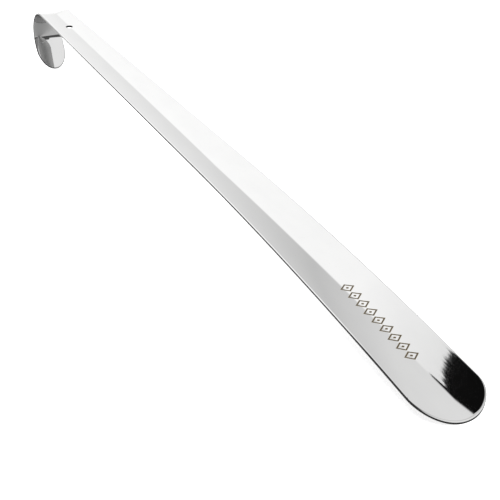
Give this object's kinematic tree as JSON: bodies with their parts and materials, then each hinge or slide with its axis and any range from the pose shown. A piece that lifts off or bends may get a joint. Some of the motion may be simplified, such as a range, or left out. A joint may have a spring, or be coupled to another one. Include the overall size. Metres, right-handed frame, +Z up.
{
  "type": "long shoehorn",
  "caption": "Long one-piece metal shoehorn: a shallow trough of polished steel strip with a wide rounded blade at one end and a bent hook with a hanging hole at the other.",
  "frame": {"origin": "middle of the bounding box's underside, on the surface that the shoehorn lies on", "axes": "+X from the hook to the tip of the blade, +Y across the strip, +Z up, out of the concave face; the XZ plane is the plane of symmetry"},
  "size_m": [0.5808, 0.0432, 0.0486],
  "materials": {
    "steel": "stainless steel, polished nearly to a mirror",
    "enamel": "golden-brown enamel, flush with the steel"
  },
  "bodies": {
    "root": {"horn": "steel", "engraving_fill": "enamel"}
  },
  "joints": []
}
